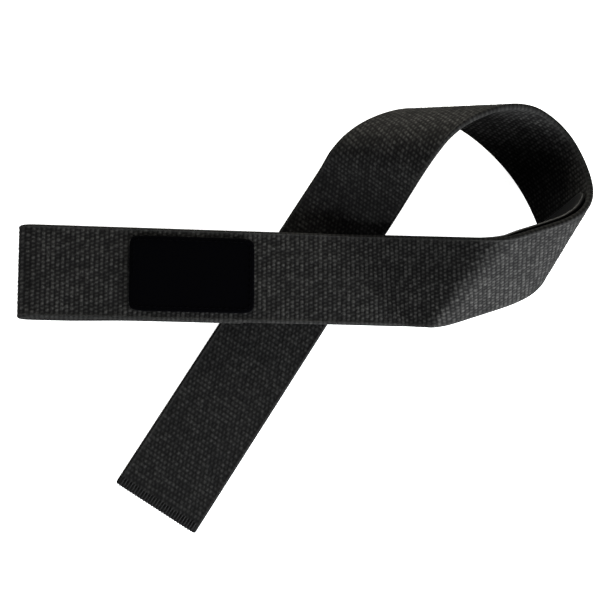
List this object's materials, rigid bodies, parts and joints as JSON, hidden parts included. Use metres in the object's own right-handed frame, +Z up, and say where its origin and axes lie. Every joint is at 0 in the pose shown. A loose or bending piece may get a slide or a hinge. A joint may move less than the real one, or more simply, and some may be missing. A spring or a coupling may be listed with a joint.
{
  "type": "weightlifting strap",
  "caption": "Flat cotton lifting strap folded over itself into a loop, with a sewn eye at one end, a plain label patch and a padded wrist stretch",
  "frame": {"origin": "centre of the outline's box, on the surface that the strap lies on", "axes": "X along the wrist limb, from the eye at -X to the loop at +X; Y towards the loop's fold at the back; Z up from the surface"},
  "size_m": [0.232, 0.1774, 0.0449],
  "materials": {
    "webbing": "heavy black cotton webbing, plain weave, matt",
    "pad": "smooth black foam pad with a fine fabric face",
    "label": "plain satin black patch, bare"
  },
  "bodies": {
    "root": {"strap_webbing": "webbing", "wrist_pad": "pad", "wrist_label": "label"}
  },
  "joints": []
}
